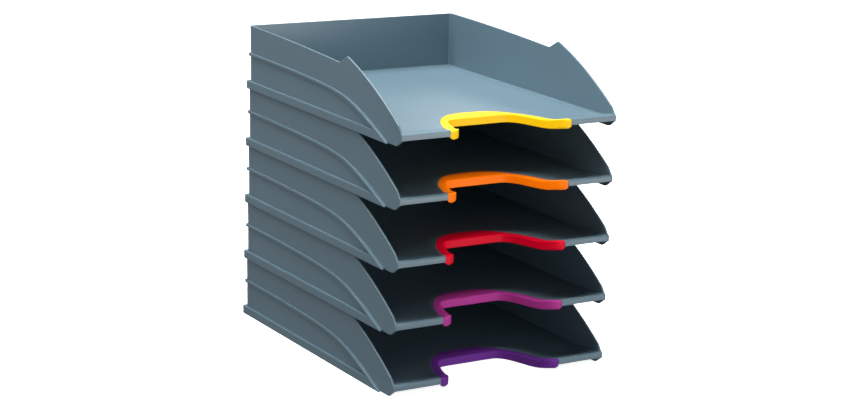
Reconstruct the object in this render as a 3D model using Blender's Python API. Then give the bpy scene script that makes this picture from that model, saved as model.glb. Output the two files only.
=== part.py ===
"""A stack of five identical letter trays, each with a coloured grip in the thumb notch of its front lip.

Frame: metres, +Z up, +X right, +Y back, the origin at the centre of the stack's footprint on the desk.
Side outlines are (d, z) points, where d is the distance forward from the back face and z the height
above a tray's base. Plan outlines are (x, d) points.
"""
import math

import bmesh
import bpy
from mathutils import Matrix

# Driving dimensions
TRAY_COUNT = 5
WIDTH = 0.270            # over the base bands
DEPTH = 0.334            # back of the base band to the front of the lip
PITCH = 0.0655           # height from one tray to the next
WALL = 0.0020            # wall thickness
FLOOR_TOP = 0.0096
FLOOR_UNDER = 0.0073
BAND_PROUD = 0.0034      # base band beyond the wall's outer face
BAND_HEIGHT = 0.0090
BAND_CHAMFER = 0.0008
SKIRT = 0.0015           # thickness of the band's skirt
LEDGE_UNDER = 0.0080     # roof of the groove that takes the walls of the tray below
GROOVE_INSIDE = 0.0014   # inner side of the groove, inside the wall's outer face
CORNER_RADIUS = 0.0036   # rear corners of the wall's outer face and of what stands out from it
DRAFT = 0.0012           # how far a wall leans out at the top of the moulding
UPRIGHT = 0.0160         # below this height the walls are upright
BLOCK_TOP = 0.0780       # top of the tub before its rim is cut
REST_GAP = 0.0003        # between a tray's rest points and the tray below
OVERLAP = 0.0010         # how far pieces that are united reach into each other

# Rim of a side wall, (d, z): nearly level, then a notch, a peak and a fin down to the lip
REAR_RIM = (0.0080, 0.0708)
NOTCH = (0.2045, 0.0648)
NOTCH_FRONT = (0.2070, 0.0650)
PEAK_REAR = (0.2215, 0.0733)
PEAK = (0.2235, PITCH + LEDGE_UNDER - REST_GAP)
FIN_LOW = (0.3265, 0.0215)
FIN_TIP = [(0.3292, 0.0182), (0.3312, 0.0153), (0.3328, 0.0134), (DEPTH, 0.0122)]
RIM_BULGE = 0.00115      # how far the rim's long arcs rise above their chords
FIN_BULGE = 0.0046

# Raised front lip, (d, z) of its top surface
LIP_ROOT_D = 0.2990      # where the lip's moulding leaves the floor
LIP_RUN = [(0.2400, FLOOR_TOP), (0.3020, FLOOR_TOP), (0.3100, 0.0099), (0.3180, 0.0109),
           (0.3255, 0.0127), (0.3305, 0.0137), (0.3328, 0.0134), (DEPTH, 0.0122)]
LIP_THICKNESS = 0.0022

# Foot at the front end of a side wall, and the arched bead that meets it
FOOT = [(0.2620, 0.0088), (0.2620, 0.0), (0.3225, 0.0), (0.3255, 0.0008), (DEPTH, FLOOR_UNDER),
        (DEPTH, 0.0100)]
BEAD_RUN = [(0.0, 0.0403), (0.065, 0.0398), (0.127, 0.0387), (0.190, 0.0358), (0.232, 0.0295),
            (0.2735, 0.0158), (0.3125, -0.0010)]
BEAD_HEIGHT = 0.0030
BEAD_PROUD = 0.0018
BEAD_STEP = 0.0003       # how far the end of the base band stands ahead of the bead
BEAD_LEAN = 0.0004       # how far the wall has leaned out at the bead's height
BACK_RUN_D = 0.0160      # where the back's run of the bead takes over from the sides'

# Thumb notch and grip, plan points (x, d) of one half
GRIP_OUTER = [(0.0, 0.2465), (0.0135, 0.2472), (0.0260, 0.2508), (0.0370, 0.2588), (0.0458, 0.2695),
              (0.0524, 0.2790), (0.0575, 0.2890), (0.0614, 0.2990), (0.0653, 0.3110), (0.0702, 0.3250),
              (0.0743, DEPTH)]
GRIP_INNER = [(0.0, 0.2705), (0.0300, 0.2705), (0.0388, 0.2738), (0.0448, 0.2818), (0.0497, 0.2950),
              (0.0545, 0.3100), (0.0580, 0.3210), (0.0612, 0.3272), (0.0655, DEPTH)]
GRIP_NOSE = 0.0023       # thickness of the grip's nose, which hangs over the notch's edge
GRIP_FLAP = 0.0012       # depth of the recess in the tray for its flap
FLANGE_UNDER = 0.0038    # underside of the flange that grips the tray from below
NOSE_UNDER = [(DEPTH, 0.0040), (0.3120, 0.0010), (0.2400, 0.0010)]
GRIP_GAP = 0.0003        # clearance between the grip and the tray all round

# Rest pads in the groove under the rear of a tray
PAD_LENGTH = 0.012
PAD_SINK = 0.0004        # how far a pad reaches into the sides and roof of its groove
PAD_SIDE_D = 0.034
PAD_BACK_X = 0.080

SHELL_COLOUR = (0.155, 0.205, 0.235)
SHELL_ROUGHNESS = 0.45
GRIP_ROUGHNESS = 0.40
GRIPS = [("grip_1", (0.115, 0.022, 0.225)), ("grip_2", (0.430, 0.035, 0.270)),
         ("grip_3", (0.680, 0.0, 0.035)), ("grip_4", (1.0, 0.195, 0.0)), ("grip_5", (1.0, 0.600, 0.003))]

BACK_Y = DEPTH / 2
WALL_HALF = WIDTH / 2 - BAND_PROUD   # half width over the side walls, at their foot
CLEAR = 0.006                        # beyond a surface that is cut through
GRIP_REACH = 0.090                   # beyond the ends of the grip
FAR = 0.40                           # beyond the tray on every side


def new_object(name, mesh, collection):
    obj = bpy.data.objects.new(name, mesh)
    collection.objects.link(obj)
    return obj


def catmull_rom(points, steps):
    """A smooth run through the points, with this many steps between each two."""
    ends = [points[0]] + points + [points[-1]]
    run = []
    for i in range(len(points) - 1):
        a, b, c, d = ends[i:i + 4]
        for step in range(steps):
            t = step / steps
            run.append(tuple(
                0.5 * (2 * b[k] + (c[k] - a[k]) * t + (2 * a[k] - 5 * b[k] + 4 * c[k] - d[k]) * t ** 2
                       + (3 * b[k] - a[k] - 3 * c[k] + d[k]) * t ** 3) for k in (0, 1)))
    return run + [points[-1]]


def arc(start, end, bulge, steps):
    """A shallow arc from start to end that rises above its chord by bulge."""
    run = []
    for step in range(steps + 1):
        t = step / steps
        run.append((start[0] + (end[0] - start[0]) * t,
                    start[1] + (end[1] - start[1]) * t + 4 * bulge * t * (1 - t)))
    return run


def offset(run, distance):
    """The run moved sideways by this distance, to the left of its direction."""
    moved = []
    for i, point in enumerate(run):
        before = run[max(i - 1, 0)]
        after = run[min(i + 1, len(run) - 1)]
        length = math.dist(before, after)
        moved.append((point[0] - (after[1] - before[1]) / length * distance,
                      point[1] + (after[0] - before[0]) / length * distance))
    return moved


def mirrored(half):
    """A plan run from the left end to the right end, from its right half."""
    return [(-x, d) for x, d in reversed(half[1:])] + half


def prism(name, outline, low, high, axis):
    """A straight solid: an (x, d) outline along Z or a (d, z) outline along X, from low to high."""
    curve = bpy.data.curves.new(name, "CURVE")
    curve.dimensions = "2D"
    curve.fill_mode = "BOTH"
    curve.extrude = (high - low) / 2
    spline = curve.splines.new("POLY")
    spline.points.add(len(outline) - 1)
    for point, (u, v) in zip(spline.points, outline):
        point.co = (u, v, 0, 1)
    spline.use_cyclic_u = True
    source = new_object(name + "_outline", curve, CUTTERS)
    depsgraph = bpy.context.evaluated_depsgraph_get()
    mesh = bpy.data.meshes.new_from_object(source.evaluated_get(depsgraph))
    bpy.data.objects.remove(source)
    bm = bmesh.new()
    bm.from_mesh(mesh)
    bmesh.ops.remove_doubles(bm, verts=bm.verts, dist=1e-6)
    bmesh.ops.dissolve_limit(bm, angle_limit=0.001, verts=bm.verts, edges=bm.edges)
    middle = (low + high) / 2
    if axis == "Z":
        place = Matrix(((1, 0, 0, 0), (0, -1, 0, BACK_Y), (0, 0, 1, middle), (0, 0, 0, 1)))
    else:
        place = Matrix(((0, 0, 1, middle), (-1, 0, 0, BACK_Y), (0, 1, 0, 0), (0, 0, 0, 1)))
    bm.transform(place)
    bmesh.ops.recalc_face_normals(bm, faces=bm.faces)
    if bm.calc_volume(signed=True) < 0:
        bmesh.ops.reverse_faces(bm, faces=bm.faces)
    bm.to_mesh(mesh)
    bm.free()
    return new_object(name, mesh, CUTTERS)


def box(name, low, high):
    """A box between two corners."""
    bm = bmesh.new()
    bmesh.ops.create_cube(bm, size=1)
    for vert in bm.verts:
        for k in range(3):
            vert.co[k] = low[k] if vert.co[k] < 0 else high[k]
    mesh = bpy.data.meshes.new(name)
    bm.to_mesh(mesh)
    bm.free()
    return new_object(name, mesh, CUTTERS)


def combine(target, tool, operation):
    """Unite target with tool, cut tool from it or keep what both share, then drop the tool."""
    modifier = target.modifiers.new(operation.lower(), "BOOLEAN")
    modifier.operation = operation
    modifier.solver = "EXACT"
    modifier.object = tool
    depsgraph = bpy.context.evaluated_depsgraph_get()
    mesh = bpy.data.meshes.new_from_object(target.evaluated_get(depsgraph))
    target.modifiers.clear()
    target.data = mesh
    bpy.data.objects.remove(tool)
    return target


def tub_ring(out, z):
    """The tub's plan at height z, grown outward by out: square front corners, rounded rear corners."""
    half = WALL_HALF + out
    back = BACK_Y - BAND_PROUD + out
    front = -BACK_Y - CLEAR - out
    radius = CORNER_RADIUS + min(out, 0.0)
    ring = [(half, front, z)]
    for side, start in ((1, 0), (-1, 90)):
        for step in range(4):
            angle = math.radians(start + 30 * step)
            ring.append((side * (half - radius) + radius * math.cos(angle),
                         back - radius + radius * math.sin(angle), z))
    ring.append((-half, front, z))
    return ring


def back_run(out):
    """The rear part of a tub ring as a plan run, from just ahead of one rear corner to the other."""
    ring = [(x, BACK_Y - y) for x, y, z in tub_ring(out, 0.0)[1:-1]]
    return [(ring[0][0], BACK_RUN_D)] + ring + [(ring[-1][0], BACK_RUN_D)]


def make_tub():
    """Floor, four walls, ledge and hollow base band, lofted from one section that runs round the tray."""
    sections = [(-GROOVE_INSIDE, FLOOR_UNDER), (-GROOVE_INSIDE, LEDGE_UNDER),
                (BAND_PROUD - SKIRT, LEDGE_UNDER), (BAND_PROUD - SKIRT, 0.0), (BAND_PROUD, 0.0),
                (BAND_PROUD, BAND_HEIGHT - BAND_CHAMFER), (BAND_PROUD - BAND_CHAMFER, BAND_HEIGHT),
                (0.0, BAND_HEIGHT), (0.0, UPRIGHT), (DRAFT, BLOCK_TOP), (DRAFT - WALL, BLOCK_TOP),
                (-WALL, UPRIGHT), (-WALL, FLOOR_TOP)]
    bm = bmesh.new()
    rings = []
    for out, z in sections:
        rings.append([bm.verts.new(point) for point in tub_ring(out, z)])
    for lower, upper in zip(rings, rings[1:]):
        for i in range(len(lower)):
            j = (i + 1) % len(lower)
            bm.faces.new((lower[i], lower[j], upper[j], upper[i]))
    bm.faces.new(rings[0])
    bm.faces.new(rings[-1])
    bmesh.ops.recalc_face_normals(bm, faces=bm.faces)
    mesh = bpy.data.meshes.new("tub")
    bm.to_mesh(mesh)
    bm.free()
    return new_object("tub", mesh, CUTTERS)


def rim_run():
    """The rim of a side wall from the rear corner to the front of the lip."""
    run = [(0.0, REAR_RIM[1])] + arc(REAR_RIM, NOTCH, RIM_BULGE, 6)
    run += [NOTCH_FRONT, PEAK_REAR]
    run += arc(PEAK, FIN_LOW, FIN_BULGE, 9)
    return run + FIN_TIP


def cut_rim(tray):
    """Cut the tub to the rim of its side walls and open its front."""
    rim = rim_run()
    above = [(-FAR, rim[0][1])] + rim + [(FAR, rim[-1][1]), (FAR, FAR), (-FAR, FAR)]
    combine(tray, prism("above_rim", above, -FAR, FAR, "X"), "DIFFERENCE")
    combine(tray, box("front", (-FAR, -FAR, -FAR), (FAR, -BACK_Y, FAR)), "DIFFERENCE")


def trim_band_front(tray):
    """End the base band at the line of the arched bead."""
    line = offset([point for point in catmull_rom(BEAD_RUN, 3) if point[1] < UPRIGHT], BEAD_STEP)
    ahead = line + [(FAR, line[-1][1]), (FAR, line[0][1])]
    for side in (-1, 1):
        ends = sorted((side * WALL_HALF, side * (WALL_HALF + CLEAR)))
        combine(tray, prism("ahead_of_bead", ahead, ends[0], ends[1], "X"), "DIFFERENCE")


def add_bead(tray):
    """The bead round the wall: level at the back, arched down to the base at the front of each side."""
    top = [point for point in catmull_rom(BEAD_RUN, 3) if point[0] > 0 and point[1] > OVERLAP]
    top.insert(0, (BACK_RUN_D - OVERLAP, BEAD_RUN[0][1]))
    outline = top + [(d, z - BEAD_HEIGHT) for d, z in reversed(top) if z - BEAD_HEIGHT > OVERLAP]
    for side in (-1, 1):
        ends = sorted((side * (WALL_HALF - WALL / 2), side * (WALL_HALF + BEAD_LEAN + BEAD_PROUD)))
        combine(tray, prism("side_bead", outline, ends[0], ends[1], "X"), "UNION")


def add_back_bead(tray):
    """The level run of the bead, round the rear corners and across the back."""
    level = BEAD_RUN[0][1]
    outer = back_run(BEAD_PROUD + BEAD_LEAN)
    inner = back_run(-WALL / 2)
    outline = outer + list(reversed(inner))
    combine(tray, prism("back_bead", outline, level - BEAD_HEIGHT, level, "Z"), "UNION")


def lip_section():
    """The raised lip: the run over its top and down its face, and the run under it."""
    top = LIP_RUN[1:]
    under = offset(top[:-1], -LIP_THICKNESS)
    inner = DEPTH - LIP_THICKNESS
    hollow = [point for point in under if point[0] < inner]
    return top, hollow + [(inner, hollow[-1][1])]


def add_lip(tray):
    """Raise the front edge of the floor into the rolled lip, hollow underneath."""
    top, hollow = lip_section()
    solid = [(LIP_ROOT_D, (FLOOR_TOP + FLOOR_UNDER) / 2)] + top + [(DEPTH, FLOOR_UNDER)]
    half = WALL_HALF - WALL / 2
    combine(tray, prism("lip", solid, -half, half, "X"), "UNION")
    below = [(hollow[0][0], 0.0)] + hollow + [(hollow[-1][0], 0.0)]
    half = WALL_HALF - 2 * WALL
    combine(tray, prism("under_lip", below, -half, half, "X"), "DIFFERENCE")


def add_feet(tray):
    """Carry the front of each side wall down to the base."""
    for side in (-1, 1):
        ends = sorted((side * (WALL_HALF - WALL), side * WALL_HALF))
        combine(tray, prism("foot", FOOT, ends[0], ends[1], "X"), "UNION")


def add_rest_pads(tray):
    """Pads in the groove that rest on the rear rim of the tray below."""
    low = REAR_RIM[1] - PITCH + REST_GAP
    high = LEDGE_UNDER + PAD_SINK
    inside = GROOVE_INSIDE + PAD_SINK
    outside = BAND_PROUD - SKIRT + PAD_SINK
    for side in (-1, 1):
        left, right = sorted((side * (WALL_HALF - inside), side * (WALL_HALF + outside)))
        y = BACK_Y - PAD_SIDE_D
        combine(tray, box("side_pad", (left, y - PAD_LENGTH / 2, low),
                          (right, y + PAD_LENGTH / 2, high)), "UNION")
        x = side * PAD_BACK_X
        wall_y = BACK_Y - BAND_PROUD
        combine(tray, box("back_pad", (x - PAD_LENGTH / 2, wall_y - inside, low),
                          (x + PAD_LENGTH / 2, wall_y + outside, high)), "UNION")


def plan_column(name, half, out):
    """A tall column on a plan outline grown by out, closed ahead of the tray."""
    run = offset(mirrored(half), -out)
    closed = [(run[0][0], DEPTH + CLEAR)] + run + [(run[-1][0], DEPTH + CLEAR)]
    return prism(name, closed, -FAR, FAR, "Z")


def front_surface(out, low):
    """The (d, z) run over the floor and lip and down the lip's face to low, moved outward by out."""
    run = offset(LIP_RUN + [(DEPTH, FLOOR_UNDER)], out)
    return run[:-1] + [(run[-1][0], low)]


def cut_notch(tray):
    """Cut the thumb notch and the shallow recess that the grip's flap lies in."""
    combine(tray, plan_column("opening", GRIP_INNER, GRIP_NOSE + GRIP_GAP), "DIFFERENCE")
    skin = front_surface(CLEAR, -CLEAR) + list(reversed(front_surface(-GRIP_FLAP, -CLEAR)))
    recess = prism("recess", skin, -GRIP_REACH, GRIP_REACH, "X")
    combine(recess, plan_column("recess_plan", GRIP_OUTER, GRIP_GAP), "INTERSECT")
    combine(tray, recess, "DIFFERENCE")


def make_grip():
    """One grip: a flap on the tray, a nose over the notch's edge and a flange underneath."""
    grip = prism("grip", LIP_RUN + NOSE_UNDER, -GRIP_REACH, GRIP_REACH, "X")
    combine(grip, plan_column("grip_plan", GRIP_OUTER, 0.0), "INTERSECT")
    combine(grip, plan_column("grip_opening", GRIP_INNER, 0.0), "DIFFERENCE")
    slot_floor = FLOOR_UNDER - GRIP_GAP
    edge = front_surface(GRIP_GAP - GRIP_FLAP, slot_floor)
    slot = edge + [(edge[0][0], slot_floor)]
    rear, front = LIP_RUN[0][0] - CLEAR, DEPTH + CLEAR
    below = [(rear, -CLEAR), (front, -CLEAR), (front, FLANGE_UNDER), (rear, FLANGE_UNDER)]
    for name, outline in (("slot", slot), ("below_flange", below)):
        room = prism(name, outline, -GRIP_REACH, GRIP_REACH, "X")
        combine(room, plan_column("nose", GRIP_INNER, GRIP_NOSE), "DIFFERENCE")
        combine(grip, room, "DIFFERENCE")
    return grip


def make_tray_mesh():
    """One tray shell."""
    tray = make_tub()
    cut_rim(tray)
    trim_band_front(tray)
    add_bead(tray)
    add_back_bead(tray)
    add_feet(tray)
    add_lip(tray)
    add_rest_pads(tray)
    cut_notch(tray)
    return tray


def finished_piece(name, source, z, colour, roughness):
    """The finished piece at its level in the stack, with its own material."""
    mesh = source.data.copy()
    obj = new_object(name, mesh, PARTS)
    obj.location.z = z
    material = bpy.data.materials.new(name)
    material.use_nodes = True
    shader = material.node_tree.nodes["Principled BSDF"]
    shader.inputs["Base Color"].default_value = (*colour, 1.0)
    shader.inputs["Roughness"].default_value = roughness
    shader.inputs["Metallic"].default_value = 0.0
    mesh.materials.clear()
    mesh.materials.append(material)
    mesh.shade_smooth()
    mesh.set_sharp_from_angle(angle=math.radians(30))
    return obj


for leftover in list(bpy.data.objects):
    bpy.data.objects.remove(leftover)
PARTS = bpy.data.collections.new("letter_tray_stack")
CUTTERS = bpy.data.collections.new("cutters")
for group in (PARTS, CUTTERS):
    bpy.context.scene.collection.children.link(group)

tray_source = make_tray_mesh()
for level in range(TRAY_COUNT):
    finished_piece(f"tray_{level + 1}", tray_source, level * PITCH, SHELL_COLOUR, SHELL_ROUGHNESS)
bpy.data.objects.remove(tray_source)
grip_source = make_grip()
for level, (name, colour) in enumerate(GRIPS):
    finished_piece(name, grip_source, level * PITCH, colour, GRIP_ROUGHNESS)
bpy.data.objects.remove(grip_source)
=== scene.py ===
"""Looks of the letter tray stack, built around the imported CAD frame.

Each tray shell and each grip is a finer piece that stands for its CAD node and rides on that level's body.
Side outlines are (d, z) points, where d is the distance forward from the back face and z the height above a
tray's base. Plan outlines are (x, d) points. Wall sections are (out, z) points, where out is the distance
outward from the wall's outer face.
"""
import math

import bmesh
import bpy
from mathutils import Matrix, Vector


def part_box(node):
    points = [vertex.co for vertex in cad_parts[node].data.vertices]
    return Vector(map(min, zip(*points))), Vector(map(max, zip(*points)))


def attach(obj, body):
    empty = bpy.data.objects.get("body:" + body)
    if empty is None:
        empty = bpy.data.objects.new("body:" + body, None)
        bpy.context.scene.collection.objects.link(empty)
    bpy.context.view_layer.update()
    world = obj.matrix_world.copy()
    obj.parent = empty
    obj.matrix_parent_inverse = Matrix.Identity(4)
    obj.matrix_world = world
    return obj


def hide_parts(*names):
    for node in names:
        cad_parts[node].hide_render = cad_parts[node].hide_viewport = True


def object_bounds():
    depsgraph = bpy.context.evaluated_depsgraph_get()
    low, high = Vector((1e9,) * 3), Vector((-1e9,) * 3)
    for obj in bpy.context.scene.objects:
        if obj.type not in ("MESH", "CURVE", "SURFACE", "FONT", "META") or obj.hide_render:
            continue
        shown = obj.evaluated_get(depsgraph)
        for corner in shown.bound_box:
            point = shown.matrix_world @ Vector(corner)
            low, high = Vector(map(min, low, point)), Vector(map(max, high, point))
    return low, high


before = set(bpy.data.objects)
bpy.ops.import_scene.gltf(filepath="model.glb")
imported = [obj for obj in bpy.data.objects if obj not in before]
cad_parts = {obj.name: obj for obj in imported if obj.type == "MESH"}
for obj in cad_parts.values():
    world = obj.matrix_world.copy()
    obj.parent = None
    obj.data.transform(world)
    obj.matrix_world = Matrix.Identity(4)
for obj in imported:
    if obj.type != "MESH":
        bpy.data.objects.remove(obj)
CAD_LOW, CAD_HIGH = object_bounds()

# Driving dimensions, from the frame
TRAY_LOW, TRAY_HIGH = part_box("tray_1")
LEVELS = sum(name.startswith("tray_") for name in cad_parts)
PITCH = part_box("tray_2")[0].z - TRAY_LOW.z
WIDTH = TRAY_HIGH.x - TRAY_LOW.x
DEPTH = TRAY_HIGH.y - TRAY_LOW.y
BACK_Y = TRAY_HIGH.y

# Sections of the tray
WALL = 0.0020
FLOOR_TOP = 0.0096
FLOOR_UNDER = 0.0073
BAND_PROUD = 0.0034      # base band beyond the wall's outer face
BAND_HEIGHT = 0.0090
BAND_EDGE = 0.0006       # rounding of the band's upper edge
SKIRT = 0.0015           # thickness of the band's skirt
LEDGE_UNDER = 0.0080     # roof of the groove under the wall
ROOF = 0.0010            # thickness of that roof where the band runs out
GROOVE_INSIDE = 0.0014
CORNER_RADIUS = 0.0036   # rear corners of the wall's outer face and of what stands out from it
DRAFT = 0.0012           # how far a wall leans out at DRAFT_TOP
UPRIGHT = 0.0160         # below this height the walls are upright
DRAFT_TOP = 0.0780
EDGE = 0.0005            # rounding of the rim
FILLET = 0.0015          # between the floor and the walls
SINK = 0.00035           # shallow sink mark inside the wall, behind the bead
SINK_ROW_GAP = 0.04      # least distance between the sink mark's rows, as a share of the wall's height
WALL_HALF = WIDTH / 2 - BAND_PROUD
OUTER_POINTS = 24        # points down the outer face, the same in every section
QUARTER = (0, 30, 60, 90)  # degrees of the points on a quarter round

# Rim of a side wall, (d, z): nearly level, then a notch, a peak and a fin down to the lip
REAR_RIM = (0.0070, 0.0708)
NOTCH = (0.2045, 0.0648)
NOTCH_FRONT = (0.2070, 0.0650)
PEAK_REAR = (0.2215, 0.0733)
PEAK = (0.2235, TRAY_HIGH.z - TRAY_LOW.z)
FIN_LOW = (0.3265, 0.0215)
FIN_TIP = [(0.3292, 0.0182), (0.3312, 0.0153), (0.3328, 0.0139), (DEPTH, 0.0127)]
RIM_BULGE = 0.00115
FIN_BULGE = 0.0046
RIM_CORNER = 0.0035      # rounding of the notch's corners
FIN_CORNER = 0.0008      # rounding of the corners at the fin's lower end

# Raised front lip, foot and bead
LIP_RUN = [(0.2400, FLOOR_TOP), (0.3020, FLOOR_TOP), (0.3100, 0.0099), (0.3180, 0.0109),
           (0.3255, 0.0127), (0.3305, 0.0137), (0.3328, 0.0134), (DEPTH, 0.0122)]
LIP_THICKNESS = 0.0022
FOOT_REAR = 0.2620
FOOT_RUN = [(FOOT_REAR, 0.0), (0.3215, 0.0), (0.3235, 0.0002), (0.3255, 0.0009), (0.3336, 0.0069),
            (DEPTH, 0.0073)]
BEAD_RUN = [(0.0, 0.0403), (0.065, 0.0398), (0.127, 0.0387), (0.190, 0.0358), (0.232, 0.0295),
            (0.2735, 0.0158), (0.3125, -0.0010)]
BEAD_HEIGHT = 0.0030
BEAD_OUT = 0.0022        # the bead's face where the bead runs level
BEAD_EDGE = 0.00035
BEAD_SPREAD_D = 0.190    # from here forward the bead widens until it meets the band
PIT = 0.0003             # height of the gap between bead and band where it is closed
BAND_TIP = 0.0007        # height of the band where it ends
RUN_OUT = 0.0080         # length over which the sections ahead of the band's end close up
RUN_OUT_MARGIN = 0.0012  # least distance of their outer points from the rim and the foot
STEP = 0.0003            # length of an abrupt change along the wall
STATION_GAP = 0.00012    # least distance between two sections
FLOOR_COLUMNS = 8        # faces across the floor

# Thumb notch and grip, plan points (x, d) of one half
GRIP_OUTER = [(0.0, 0.2465), (0.0135, 0.2472), (0.0260, 0.2508), (0.0370, 0.2588), (0.0458, 0.2695),
              (0.0524, 0.2790), (0.0575, 0.2890), (0.0614, 0.2990), (0.0653, 0.3110), (0.0702, 0.3250),
              (0.0743, DEPTH)]
GRIP_INNER = [(0.0, 0.2705), (0.0300, 0.2705), (0.0388, 0.2738), (0.0448, 0.2818), (0.0497, 0.2950),
              (0.0545, 0.3100), (0.0580, 0.3210), (0.0607, 0.3270), (0.0638, 0.3314), (0.0680, DEPTH)]
GRIP_NOSE = 0.0023
GRIP_FLAP = 0.0012
FLANGE_UNDER = 0.0038    # underside of the flange that grips the tray from below
NOSE_UNDER = [(0.2400, 0.0010), (0.3090, 0.0010), (0.3180, 0.0016), (0.3260, 0.0028), (DEPTH, 0.0040)]
GRIP_GAP = 0.0003
GRIP_TOP_EDGE = 0.0008   # rounding between the flap and the nose
GRIP_LOW_EDGE = 0.0008   # rounding below the nose, and how much more there is of it at the front end
GRIP_END_EDGE = 0.0024
GRIP_END = 0.0140        # length of the softened front end
FLANGE_EDGE = 0.0004
FLANGE_RISE = 0.0010     # how much higher the flange's outer edge is at the front end
END_STEP = 0.0005        # length and inset of the chamfer round a grip's front face
END_INSET = 0.0004
GRIP_SPOKES = 44         # sections along half a grip
CLEAR = 0.006            # beyond a surface that is cut through
GRIP_REACH = 0.090       # beyond the ends of the grip
FAR = 0.40               # beyond the tray on every side

# Each grip's colour, and the strength of its painted glow: emission in that colour that makes the grip
# brighter than the lamps alone would
GRIP_COLOURS = {1: ((0.120, 0.022, 0.235), 0.09),
                2: ((0.400, 0.036, 0.255), 0.08),
                3: ((0.680, 0.0, 0.020), 0.10),
                4: ((1.0, 0.180, 0.0), 0.20),
                5: ((0.860, 0.510, 0.004), 0.30)}
SHELL_COLOUR = (0.112, 0.180, 0.224)
SHELL_ROUGHNESS = 0.36
SHELL_GRAIN = 0.00006    # depth of the spark-eroded grain
GRIP_ROUGHNESS = 0.42
GRIP_GRAIN = 0.00004
GRIP_SPECULAR = 0.12

# Floor, light and camera; angles in degrees
FLOOR_SIZE = 24.0
FLOOR_WHITE = 0.85
FLOOR_GLOW = 0.9         # keeps the floor as pale as the surround
HORIZON = 0.44           # brightness of the surround at the horizon, from where it falls off both ways
LIGHT_TARGET = (0.0, 0.0, 0.2)

# Square softboxes: where each stands, its side in metres and its power in watts
SOFTBOXES = {"overhead": ((-0.2, 0.1, 1.9), 1.4, 73.0),
             "left": ((-1.3, 0.1, 1.3), 0.8, 8.6),
             "behind": ((1.9, 1.9, 1.2), 1.0, 12.0)}

# The strip light ahead of the lips
STRIP_AT = (0.45, -1.3, 0.1)
STRIP_TARGET = (0.45, 0.0, 0.1)
STRIP_SIZE = (1.2, 0.2)
STRIP_POWER = 9.6

CAMERA_AT = Vector((-1.20405, -1.92478, 0.72488))
CAMERA_AZIMUTH = -32.2266
CAMERA_ELEVATION = 14.1526
CAMERA_ROLL = 2.1652
CAMERA_LENS = 89.172


# Small geometry helpers

def smooth(t):
    """0 to 1 with an eased start and end."""
    t = min(max(t, 0.0), 1.0)
    return t * t * (3 - 2 * t)


def catmull_rom(points, steps):
    """A smooth run through the points, with this many steps between each two."""
    ends = [points[0]] + points + [points[-1]]
    run = []
    for i in range(len(points) - 1):
        a, b, c, d = ends[i:i + 4]
        for step in range(steps):
            t = step / steps
            run.append(tuple(
                0.5 * (2 * b[k] + (c[k] - a[k]) * t + (2 * a[k] - 5 * b[k] + 4 * c[k] - d[k]) * t ** 2
                       + (3 * b[k] - a[k] - 3 * c[k] + d[k]) * t ** 3) for k in (0, 1)))
    return run + [points[-1]]


def arc(start, end, bulge, steps):
    """A shallow arc from start to end that rises above its chord by bulge."""
    run = []
    for step in range(steps + 1):
        t = step / steps
        run.append((start[0] + (end[0] - start[0]) * t,
                    start[1] + (end[1] - start[1]) * t + 4 * bulge * t * (1 - t)))
    return run


def eased(points, radius, steps):
    """The run with each inner corner rounded off within radius of it."""
    run = [points[0]]
    for before, corner, after in zip(points, points[1:], points[2:]):
        reach_in = min(radius, math.dist(before, corner) / 2.2)
        reach_out = min(radius, math.dist(corner, after) / 2.2)
        start = [corner[k] + (before[k] - corner[k]) * reach_in / math.dist(before, corner) for k in (0, 1)]
        end = [corner[k] + (after[k] - corner[k]) * reach_out / math.dist(corner, after) for k in (0, 1)]
        for step in range(steps + 1):
            t = step / steps
            run.append(tuple((1 - t) ** 2 * start[k] + 2 * t * (1 - t) * corner[k] + t ** 2 * end[k]
                             for k in (0, 1)))
    return run + [points[-1]]


def offset(run, distance):
    """The run moved sideways by this distance, to the left of its direction."""
    moved = []
    for i, point in enumerate(run):
        before = run[max(i - 1, 0)]
        after = run[min(i + 1, len(run) - 1)]
        length = math.dist(before, after)
        moved.append((point[0] - (after[1] - before[1]) / length * distance,
                      point[1] + (after[0] - before[0]) / length * distance))
    return moved


def height_on(run, d):
    """The height of a run whose d only grows, at this d."""
    if d <= run[0][0]:
        return run[0][1]
    for (d0, z0), (d1, z1) in zip(run, run[1:]):
        if d <= d1:
            return z0 + (z1 - z0) * (d - d0) / (d1 - d0)
    return run[-1][1]


def depth_where(run, height):
    """The d at which a falling run comes down to this height."""
    for (d0, z0), (d1, z1) in zip(run, run[1:]):
        if z0 >= height >= z1 and z0 > z1:
            return d0 + (d1 - d0) * (z0 - height) / (z0 - z1)
    return run[-1][0]


def resampled(run, count):
    """The run as count + 1 points evenly spaced along it."""
    lengths = [0.0]
    for a, b in zip(run, run[1:]):
        lengths.append(lengths[-1] + math.dist(a, b))
    points = []
    i = 0
    for step in range(count + 1):
        at = lengths[-1] * step / count
        while i < len(run) - 2 and lengths[i + 1] < at:
            i += 1
        t = (at - lengths[i]) / (lengths[i + 1] - lengths[i])
        points.append(tuple(run[i][k] + (run[i + 1][k] - run[i][k]) * t for k in (0, 1)))
    return points


def mirrored(half):
    """A plan run from the left end to the right end, from its right half."""
    return [(-x, d) for x, d in reversed(half[1:])] + half


def new_object(name, data):
    """A linked object for a mesh, curve, light or camera."""
    obj = bpy.data.objects.new(name, data)
    bpy.context.scene.collection.objects.link(obj)
    return obj


def mesh_from(name, bm):
    """The finished bmesh as a mesh whose faces point outward."""
    bmesh.ops.recalc_face_normals(bm, faces=bm.faces)
    if bm.calc_volume(signed=True) < 0:
        bmesh.ops.reverse_faces(bm, faces=bm.faces)
    mesh = bpy.data.meshes.new(name)
    bm.to_mesh(mesh)
    bm.free()
    return mesh


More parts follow.
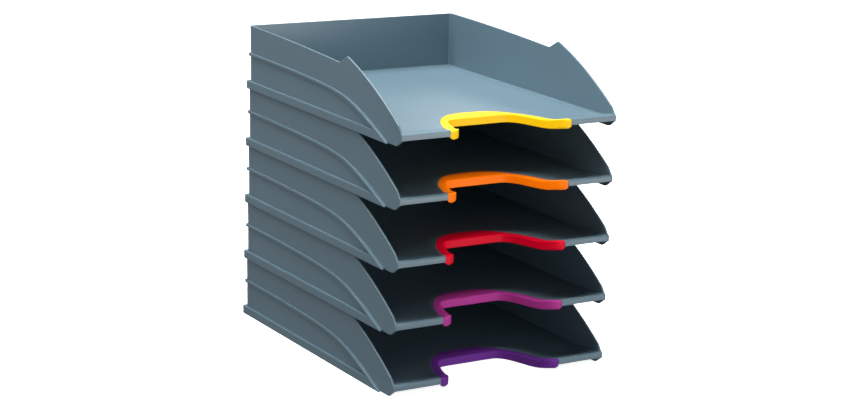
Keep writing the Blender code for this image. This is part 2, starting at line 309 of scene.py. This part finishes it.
def prism(name, outline, low, high, axis):
    """A straight solid: an (x, d) outline along Z or a (d, z) outline along X, from low to high."""
    curve = bpy.data.curves.new(name, "CURVE")
    curve.dimensions = "2D"
    curve.fill_mode = "BOTH"
    curve.extrude = (high - low) / 2
    spline = curve.splines.new("POLY")
    spline.points.add(len(outline) - 1)
    for point, (u, v) in zip(spline.points, outline):
        point.co = (u, v, 0, 1)
    spline.use_cyclic_u = True
    source = new_object(name, curve)
    depsgraph = bpy.context.evaluated_depsgraph_get()
    filled = bpy.data.meshes.new_from_object(source.evaluated_get(depsgraph))
    bpy.data.objects.remove(source)
    bm = bmesh.new()
    bm.from_mesh(filled)
    bmesh.ops.remove_doubles(bm, verts=bm.verts, dist=1e-6)
    bmesh.ops.dissolve_limit(bm, angle_limit=0.001, verts=bm.verts, edges=bm.edges)
    middle = (low + high) / 2
    if axis == "Z":
        place = Matrix(((1, 0, 0, 0), (0, -1, 0, BACK_Y), (0, 0, 1, middle), (0, 0, 0, 1)))
    else:
        place = Matrix(((0, 0, 1, middle), (-1, 0, 0, BACK_Y), (0, 1, 0, 0), (0, 0, 0, 1)))
    bm.transform(place)
    return new_object(name, mesh_from(name, bm))


def combine(target, tool, operation):
    """Unite target with tool, cut tool from it or keep what both share, then drop the tool."""
    modifier = target.modifiers.new(operation.lower(), "BOOLEAN")
    modifier.operation = operation
    modifier.solver = "EXACT"
    modifier.object = tool
    depsgraph = bpy.context.evaluated_depsgraph_get()
    mesh = bpy.data.meshes.new_from_object(target.evaluated_get(depsgraph))
    target.modifiers.clear()
    target.data = mesh
    bpy.data.objects.remove(tool)
    return target


# The tray shell: one wall section carried round the tray, with the floor and lip between its two sides

def rim_run():
    """The rim of a side wall from the rear corner to the front of the lip."""
    run = eased(arc(REAR_RIM, NOTCH, RIM_BULGE, 6) + [NOTCH_FRONT, PEAK_REAR], RIM_CORNER, 3)
    run.append(((PEAK_REAR[0] + PEAK[0]) / 2, PEAK[1] - 0.0001))
    return run + eased(arc(PEAK, FIN_LOW, FIN_BULGE, 12) + FIN_TIP, FIN_CORNER, 2)


RIM = rim_run()
BEAD = catmull_rom(BEAD_RUN, 7)
LIP = catmull_rom(LIP_RUN[1:], 3)
PIT_CLOSES = depth_where(BEAD, BAND_HEIGHT + BEAD_HEIGHT + PIT)
BAND_ENDS = depth_where(BEAD, BAND_TIP)
LIP_HOLLOW = DEPTH - LIP_THICKNESS


def lip_under(d):
    """The underside of the floor and of the lip at d."""
    if d < LIP_RUN[1][0] or d > LIP_HOLLOW:
        return FLOOR_UNDER
    return max(FLOOR_UNDER, height_on(LIP, d) - LIP_THICKNESS)


def lean(z):
    """How far the wall has leaned out at height z."""
    return DRAFT * max(0.0, z - UPRIGHT) / (DRAFT_TOP - UPRIGHT)


def spaced(high, low, count):
    """Heights evenly spaced strictly between high and low."""
    return [high + (low - high) * (i + 1) / (count + 1) for i in range(count)]


def corner_points(out, z, radius, start):
    """Four points of a convex quarter round whose sharp corner is at (out, z), from the start angle down."""
    centre = (out - radius, z - radius) if start == 90 else (out - radius, z + radius)
    return [(centre[0] + radius * math.cos(math.radians(start - turn)),
             centre[1] + radius * math.sin(math.radians(start - turn))) for turn in QUARTER]


def inner_side(d, rim, floor):
    """From the floor up the wall's inner face and over its rim."""
    height = rim - floor
    fillet = min(FILLET, 0.30 * height)
    edge = min(EDGE, 0.25 * height)
    points = [(-WALL - FILLET, floor)]
    for angle in QUARTER[1:]:
        turn = math.radians(angle)
        points.append((-WALL - fillet + fillet * math.sin(turn), floor + fillet - fillet * math.cos(turn)))
    bead = height_on(BEAD, d)
    for i, z in enumerate((bead - BEAD_HEIGHT - 0.001, bead - BEAD_HEIGHT / 2, bead + 0.001)):
        lowest = floor + fillet + (i + 1) * SINK_ROW_GAP * height
        highest = rim - edge - (3 - i) * SINK_ROW_GAP * height
        held = min(max(z, lowest), highest)
        sunk = SINK if i == 1 and held == z else 0.0
        points.append((-WALL + lean(held) + sunk, held))
    top = lean(rim)
    for angle in QUARTER:
        turn = math.radians(angle)
        points.append((-WALL + top + edge - edge * math.cos(turn), rim - edge + edge * math.sin(turn)))
    for angle in reversed(QUARTER):
        turn = math.radians(angle)
        points.append((top - edge + edge * math.cos(turn), rim - edge + edge * math.sin(turn)))
    return points


def band_foot(face, groove_roof, edge):
    """The lower part of the band: its face's lower edge, the skirt's bottom and the groove's outer side."""
    inside = face - SKIRT
    return [(face, edge), (face - 0.3 * edge, 0.3 * edge), (face - edge, 0.0), (inside + edge, 0.0),
            (inside, edge), (inside, groove_roof)]


def plain_face(d, rim, bottom):
    """The outer face ahead of the band's end, where nothing stands out from it."""
    run_out = min(1.0, (d - BAND_ENDS) / RUN_OUT)
    start = bottom + EDGE + RUN_OUT_MARGIN + run_out * 0.5 * (rim - bottom)
    return [(lean(z), z) for z in spaced(min(start, rim - RUN_OUT_MARGIN), bottom + EDGE, OUTER_POINTS)]


def merged_face(bead):
    """The outer face where the bead has come down to the band and both are one."""
    edge = min(BEAD_EDGE, bead / 4)
    points = [(lean(bead + edge), bead + edge), (edge * 0.7, bead)]
    points += corner_points(BAND_PROUD, bead, edge, 90)
    roof = min(LEDGE_UNDER, max(bead - ROOF, bead / 2))
    foot = band_foot(BAND_PROUD, roof, edge) + [(BAND_PROUD - SKIRT - edge, roof)]
    between = spaced(bead - edge, edge, OUTER_POINTS - len(points) - len(foot))
    return points + [(BAND_PROUD, z) for z in between] + foot


def outer_side(d, rim, bottom):
    """Down the wall's outer face: bead, band and skirt, to the roof of the groove."""
    if d > BAND_ENDS:
        return plain_face(d, rim, bottom)
    bead = height_on(BEAD, d)
    if d > PIT_CLOSES:
        return merged_face(bead)
    spread = smooth((d - BEAD_SPREAD_D) / (PIT_CLOSES - BEAD_SPREAD_D))
    face = BEAD_OUT + (BAND_PROUD - BEAD_OUT) * spread
    low = bead - BEAD_HEIGHT
    points = [(lean(bead), bead + 0.0003), (lean(bead) + 0.0003, bead)]
    points += corner_points(face, bead, BEAD_EDGE, 90) + corner_points(face, low, BEAD_EDGE, 0)
    points += [(lean(low) + 0.0002, low), (lean(low), low - 0.0001)]
    points += [(0.0, BAND_HEIGHT)] + corner_points(BAND_PROUD, BAND_HEIGHT, BAND_EDGE, 90)
    return points + band_foot(BAND_PROUD, LEDGE_UNDER, EDGE) + [(BAND_PROUD - SKIRT - EDGE, LEDGE_UNDER)]


def under_side(d, bottom, under):
    """From the roof of the groove to the underside of the floor, or round the foot at the front."""
    if d < FOOT_REAR:
        roof = [(-GROOVE_INSIDE - inward, under) for inward in (0.0002, 0.0004, 0.0005)]
        return [(-GROOVE_INSIDE, LEDGE_UNDER), (-GROOVE_INSIDE, under + 0.0002), *roof,
                (-WALL, under), (-WALL - FILLET, under)]
    roof = min(LEDGE_UNDER, max(height_on(BEAD, d) - ROOF, bottom + EDGE + 0.0001))
    edge = min(EDGE, (under - bottom) / 3) if under > bottom else 0.00005
    return [(0.0, roof), (0.0, bottom + edge), (-edge, bottom), (-WALL + edge, bottom),
            (-WALL, bottom + edge), (-WALL, max(under, bottom + 2 * edge)), (-WALL - FILLET, under)]


def section(d):
    """The wall's whole section at d, from the floor's top round to the floor's underside."""
    floor = height_on(LIP, d)
    rim = max(height_on(RIM, d), floor + 0.0004)
    bottom = height_on(FOOT_RUN, d)
    points = inner_side(d, rim, floor) + outer_side(d, rim, bottom)
    return points + under_side(d, bottom, max(lip_under(d), bottom + 0.0001))


def side_stations():
    """The d of every section along a side wall, from the rear corner to the front."""
    marks = [point[0] for run in (RIM, BEAD, LIP, FOOT_RUN) for point in run]
    for abrupt in (FOOT_REAR, PIT_CLOSES, BAND_ENDS, LIP_HOLLOW):
        marks += [abrupt - STEP, abrupt, abrupt + STEP]
    marks += [BAND_ENDS + share * RUN_OUT for share in (0.375, 0.75, 1.0)]
    stations = []
    for mark in sorted(marks):
        if REAR_RIM[0] <= mark <= DEPTH and (not stations or mark - stations[-1] > STATION_GAP):
            stations.append(mark)
    stations[-1] = DEPTH
    return stations


def wall_path():
    """Where each section stands: its d, and a function that puts an (out, z) point in place."""
    stations = side_stations()

    def on_side(side, d):
        return lambda out, z: (side * (WALL_HALF + out), BACK_Y - d, z)

    def on_corner(side, angle):
        turn = math.radians(angle)

        def place(out, z):
            centre = max(out, 0.0) - CORNER_RADIUS
            radius = CORNER_RADIUS + min(out, 0.0)
            return (side * (WALL_HALF + centre + radius * math.cos(turn)),
                    BACK_Y - BAND_PROUD + centre + radius * math.sin(turn), z)
        return place

    path = [(d, on_side(-1, d)) for d in reversed(stations)]
    path += [(stations[0], on_corner(-1, angle)) for angle in range(15, 91, 15)]
    path += [(stations[0], on_corner(1, angle)) for angle in range(90, 14, -15)]
    path += [(d, on_side(1, d)) for d in stations]
    return path, len(stations)


def bridge(bm, first, second):
    """Faces between two rows of vertices."""
    return [bm.faces.new((first[i], first[i + 1], second[i + 1], second[i])) for i in range(len(first) - 1)]


def lip_faces(bm, left, right):
    """Faces across the lip between its left and right vertices, front to back, and its front row."""
    rows = []
    for a, b in zip(left[:-1], right[:-1]):
        shares = [step / FLOOR_COLUMNS for step in range(1, FLOOR_COLUMNS)]
        rows.append([a] + [bm.verts.new(a.co.lerp(b.co, share)) for share in shares] + [b])
    for row, following in zip(rows, rows[1:]):
        bridge(bm, row, following)
    bm.faces.new(rows[-1] + [right[-1], left[-1]])
    return rows[0]


def make_shell():
    """One tray shell, without its thumb notch."""
    path, side_count = wall_path()
    bm = bmesh.new()
    rings = [[bm.verts.new(place(out, z)) for out, z in section(d)] for d, place in path]
    for i in range(len(rings) - 1):
        faces = bridge(bm, rings[i], rings[i + 1])
        if (path[i][0] < FOOT_REAR) != (path[i + 1][0] < FOOT_REAR):
            bmesh.ops.triangulate(bm, faces=faces, quad_method="LONG_EDGE")
    lip_count = sum(path[i][0] > LIP_RUN[1][0] + 1e-6 for i in range(side_count))
    sides = [([ring[edge] for ring in rings], [ring[edge] for ring in reversed(rings)]) for edge in (0, -1)]
    for left, _ in sides:
        bm.faces.new(left[lip_count:len(rings) - lip_count])
    fronts = [lip_faces(bm, left[:lip_count + 1], right[:lip_count + 1]) for left, right in sides]
    bridge(bm, *fronts)
    for ring in (rings[0], rings[-1]):
        bm.faces.new(ring)
    return new_object("shell", mesh_from("shell", bm))


# The thumb notch and the grip

def plan_column(name, half, out):
    """A tall column on a plan outline grown by out, closed ahead of the tray."""
    run = offset(mirrored(half), -out)
    closed = [(run[0][0], DEPTH + CLEAR)] + run + [(run[-1][0], DEPTH + CLEAR)]
    return prism(name, closed, -FAR, FAR, "Z")


def front_surface(out, low):
    """The (d, z) run over the floor and lip and down the lip's face to low, moved outward by out."""
    run = offset(LIP_RUN + [(DEPTH, FLOOR_UNDER)], out)
    return run[:-1] + [(run[-1][0], low)]


def cut_notch(shell):
    """Cut the thumb notch and the shallow recess that the grip's flap lies in."""
    combine(shell, plan_column("opening", GRIP_INNER, GRIP_NOSE + GRIP_GAP), "DIFFERENCE")
    skin = front_surface(CLEAR, -CLEAR) + list(reversed(front_surface(-GRIP_FLAP, -CLEAR)))
    recess = prism("recess", skin, -GRIP_REACH, GRIP_REACH, "X")
    combine(recess, plan_column("recess_plan", GRIP_OUTER, GRIP_GAP), "INTERSECT")
    return combine(shell, recess, "DIFFERENCE")


def grip_profile(width, front):
    """The grip's section where it is this wide, front being 0 to 1 over its softened end.

    Each point is its distance from the inner edge, the level it lies at and how far the rounding draws it in.
    """
    low_edge = GRIP_LOW_EDGE + GRIP_END_EDGE * front
    nose = max(GRIP_NOSE, low_edge + 0.0003)
    rounds = [(angle, "top", GRIP_TOP_EDGE) for angle in (90, 67.5, 45, 22.5, 0)]
    rounds += [(angle, "nose", low_edge) for angle in (0, 22.5, 45, 67.5, 90)]
    profile = []
    for angle, level, radius in rounds:
        turn = math.radians(angle)
        profile.append((radius - radius * math.cos(turn), level, radius * (1 - math.sin(turn))))
    profile += [(nose, "nose", 0.0), (nose, "flange", 0.0), (width * 0.6, "flange", 0.0),
                (width - FLANGE_EDGE, "flange", 0.0), (width, "flange", FLANGE_EDGE),
                (width, "top", FLANGE_EDGE), (width - 0.0001, "top", 0.0001),
                (width - FLANGE_EDGE, "top", 0.0)]
    return profile + [(width * share, "top", 0.0) for share in (0.75, 0.5, 0.25)]


def grip_section(inner, outer, inset):
    """The grip's section between its inner and outer edge, pulled in by inset at the very front."""
    width = math.dist(inner, outer)
    front = smooth((inner[1] - (DEPTH - GRIP_END)) / GRIP_END)
    points = []
    for across, level, rounding in grip_profile(width, front):
        share = across / width
        across = inset + (width - 2 * inset) * share
        x, d = (inner[k] + (outer[k] - inner[k]) * across / width for k in (0, 1))
        under = height_on(NOSE_UNDER, d)
        if level == "top":
            z = height_on(LIP, d) - rounding - inset
        elif level == "nose":
            z = under + rounding + inset
        else:
            z = max(FLANGE_UNDER, under + 0.0002) + FLANGE_RISE * front * smooth(share) + rounding + inset
        points.append((x, BACK_Y - d, z))
    return points


def make_grip():
    """One grip: a flap on the tray, a nose over the notch's edge and a flange underneath."""
    inner = resampled(catmull_rom(GRIP_INNER, 6), GRIP_SPOKES)
    outer = resampled(catmull_rom(GRIP_OUTER, 6), GRIP_SPOKES)
    half = [(a, b, 0.0) for a, b in zip(inner, outer)]
    end = half.pop()
    near = [(x, d - END_STEP) for x, d in end[:2]]
    half += [(near[0], near[1], 0.0), (end[0], end[1], END_INSET)]
    bm = bmesh.new()
    rings = []
    for side in (-1, 1):
        spokes = reversed(half) if side < 0 else half[1:]
        for a, b, inset in spokes:
            rings.append([bm.verts.new((side * x, y, z)) for x, y, z in grip_section(a, b, inset)])
    for ring, following in zip(rings, rings[1:]):
        bridge(bm, ring + ring[:1], following + following[:1])
    bm.faces.new(rings[0])
    bm.faces.new(rings[-1])
    grip = new_object("grip", mesh_from("grip", bm))
    slot_floor = FLOOR_UNDER - GRIP_GAP
    edge = front_surface(GRIP_GAP - GRIP_FLAP, slot_floor)
    slot = prism("slot", edge + [(edge[0][0], slot_floor)], -GRIP_REACH, GRIP_REACH, "X")
    combine(slot, plan_column("nose", GRIP_INNER, GRIP_NOSE), "DIFFERENCE")
    return combine(grip, slot, "DIFFERENCE")


# Materials

def node(tree, kind, inputs=None, **settings):
    """A new shader node with its settings, and inputs given by name or number as values or linked sockets."""
    made = tree.nodes.new(kind)
    for key, value in settings.items():
        setattr(made, key, value)
    for key, value in (inputs or {}).items():
        if isinstance(value, bpy.types.NodeSocket):
            tree.links.new(value, made.inputs[key])
        else:
            made.inputs[key].default_value = value
    return made


def moulded_plastic(name, colour, roughness, grain, specular=0.5, painted_glow=0.0):
    """Satin moulded plastic: a fine spark-eroded grain, faint flow marks, a little colour variation and a
    painted glow in its own colour.
    """
    material = bpy.data.materials.new(name)
    material.use_nodes = True
    tree = material.node_tree
    shader = tree.nodes["Principled BSDF"]
    place = node(tree, "ShaderNodeTexCoord").outputs["Object"]
    flow = node(tree, "ShaderNodeTexNoise", {"Vector": place, "Scale": 9.0, "Detail": 3.0, "Roughness": 0.5})
    fine = node(tree, "ShaderNodeTexNoise", {"Vector": place, "Scale": 1400.0, "Detail": 2.0,
                                             "Roughness": 0.6})
    wave = node(tree, "ShaderNodeTexNoise", {"Vector": place, "Scale": 22.0, "Detail": 1.0, "Roughness": 0.4})
    dark = (*[c * 0.93 for c in colour], 1.0)
    light = (*[min(c * 1.06, 1.0) for c in colour], 1.0)
    tint = node(tree, "ShaderNodeMix", {"Factor": flow.outputs["Fac"]}, data_type="RGBA")
    tint.inputs["A"].default_value = dark
    tint.inputs["B"].default_value = light
    speckle = node(tree, "ShaderNodeMix", {"Factor": fine.outputs["Fac"]}, data_type="RGBA",
                   blend_type="MULTIPLY")
    tree.links.new(tint.outputs["Result"], speckle.inputs["A"])
    speckle.inputs["B"].default_value = (0.94, 0.94, 0.94, 1.0)
    tree.links.new(speckle.outputs["Result"], shader.inputs["Base Color"])
    rough = node(tree, "ShaderNodeMapRange", {"Value": flow.outputs["Fac"], "To Min": roughness - 0.04,
                                              "To Max": roughness + 0.05})
    tree.links.new(rough.outputs["Result"], shader.inputs["Roughness"])
    broad = node(tree, "ShaderNodeBump", {"Height": wave.outputs["Fac"], "Strength": 0.25,
                                          "Distance": 0.0006})
    bump = node(tree, "ShaderNodeBump", {"Height": fine.outputs["Fac"], "Strength": 0.5,
                                         "Distance": grain, "Normal": broad.outputs["Normal"]})
    tree.links.new(bump.outputs["Normal"], shader.inputs["Normal"])
    shader.inputs["IOR"].default_value = 1.5
    shader.inputs["Specular IOR Level"].default_value = specular
    # Painted light: the plastic glows in its own colour, which brightens it beyond what the lamps give
    shader.inputs["Emission Color"].default_value = (*colour, 1.0)
    shader.inputs["Emission Strength"].default_value = painted_glow
    return material


def finished(name, source, level, node_name, material):
    """A copy of the source at its level, shaded, riding on its body in place of its CAD node."""
    mesh = source.data.copy()
    mesh.transform(Matrix.Translation((0.0, 0.0, level * PITCH)))
    mesh.materials.clear()
    mesh.materials.append(material)
    mesh.shade_smooth()
    mesh.set_sharp_from_angle(angle=math.radians(40))
    piece = new_object(name, mesh)
    weighted = piece.modifiers.new("weighted_normals", "WEIGHTED_NORMAL")
    weighted.keep_sharp = True
    weighted.weight = 80
    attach(piece, f"level_{level + 1}")
    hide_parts(node_name)
    return piece


def make_pieces():
    """Every level's shell and grip."""
    shell = cut_notch(make_shell())
    grip = make_grip()
    shell_plastic = moulded_plastic("tray_plastic", SHELL_COLOUR, SHELL_ROUGHNESS, SHELL_GRAIN)
    for level in range(LEVELS):
        n = level + 1
        finished(f"shell_{n}", shell, level, f"tray_{n}", shell_plastic)
        # Each grip's colour and its painted glow, an emission that brightens it though it is no lamp
        colour, painted_glow = GRIP_COLOURS[n]
        grip_plastic = moulded_plastic(f"grip_{n}_plastic", colour, GRIP_ROUGHNESS, GRIP_GRAIN,
                                       GRIP_SPECULAR, painted_glow)
        finished(f"grip_band_{n}", grip, level, f"grip_{n}", grip_plastic)
    bpy.data.objects.remove(shell)
    bpy.data.objects.remove(grip)


# Floor, light and camera

def make_floor():
    """The pale floor that the stack stands on."""
    bm = bmesh.new()
    bmesh.ops.create_grid(bm, x_segments=1, y_segments=1, size=FLOOR_SIZE / 2)
    mesh = bpy.data.meshes.new("floor")
    bm.to_mesh(mesh)
    bm.free()
    material = bpy.data.materials.new("floor")
    material.use_nodes = True
    shader = material.node_tree.nodes["Principled BSDF"]
    shader.inputs["Base Color"].default_value = (FLOOR_WHITE, FLOOR_WHITE, FLOOR_WHITE, 1.0)
    shader.inputs["Emission Color"].default_value = (1.0, 1.0, 1.0, 1.0)
    shader.inputs["Emission Strength"].default_value = FLOOR_GLOW
    shader.inputs["Roughness"].default_value = 0.9
    shader.inputs["Specular IOR Level"].default_value = 0.0
    mesh.materials.append(material)
    floor = new_object("floor", mesh)
    floor.location.z = CAD_LOW.z
    floor.visible_diffuse = False
    floor.visible_glossy = False


def area_light(name, at, target, size, power):
    """A softbox turned to its target, with its two sides in metres and its power in watts."""
    light = bpy.data.lights.new(name, "AREA")
    light.shape = "RECTANGLE"
    light.size, light.size_y = size
    light.energy = power
    obj = new_object(name, light)
    obj.location = at
    obj.rotation_euler = (Vector(target) - Vector(at)).to_track_quat("-Z", "Y").to_euler()
    return obj


def make_light():
    """A softbox overhead, small ones to the left and behind, a strip ahead of the lips, a bright horizon."""
    for name, (at, side, power) in SOFTBOXES.items():
        area_light(name, at, LIGHT_TARGET, (side, side), power)
    strip = area_light("front", STRIP_AT, STRIP_TARGET, STRIP_SIZE, STRIP_POWER)
    strip.visible_camera = False
    world = bpy.data.worlds.new("studio")
    world.use_nodes = True
    tree = world.node_tree
    place = node(tree, "ShaderNodeTexCoord").outputs["Generated"]
    height = node(tree, "ShaderNodeSeparateXYZ", {"Vector": place}).outputs["Z"]
    slope = node(tree, "ShaderNodeMath", {0: height}, operation="ABSOLUTE").outputs[0]
    strength = node(tree, "ShaderNodeMath", {0: slope, 1: -HORIZON, 2: HORIZON}, operation="MULTIPLY_ADD")
    tree.nodes["Background"].inputs["Color"].default_value = (1.0, 1.0, 1.0, 1.0)
    tree.links.new(strength.outputs[0], tree.nodes["Background"].inputs["Strength"])
    bpy.context.scene.world = world
    bpy.context.scene.view_settings.view_transform = "Standard"


def make_camera():
    """A camera that looks down along its azimuth and elevation, tilted by its roll."""
    azimuth, elevation, roll = (math.radians(a) for a in (CAMERA_AZIMUTH, CAMERA_ELEVATION, CAMERA_ROLL))
    ahead = Vector((-math.sin(azimuth) * math.cos(elevation), math.cos(azimuth) * math.cos(elevation),
                    -math.sin(elevation)))
    right = Vector((math.cos(azimuth), math.sin(azimuth), 0.0))
    up = right.cross(ahead)
    tilted_right = right * math.cos(roll) + up * math.sin(roll)
    tilted_up = up * math.cos(roll) - right * math.sin(roll)
    camera = bpy.data.cameras.new("camera")
    camera.lens = CAMERA_LENS
    camera.sensor_width = 36.0
    camera.clip_start = 0.05
    camera.clip_end = 60.0
    obj = new_object("camera", camera)
    axes = Matrix((tilted_right, tilted_up, -ahead)).transposed()
    obj.matrix_world = Matrix.Translation(CAMERA_AT) @ axes.to_4x4()
    bpy.context.scene.camera = obj


make_pieces()
make_floor()
make_light()
make_camera()
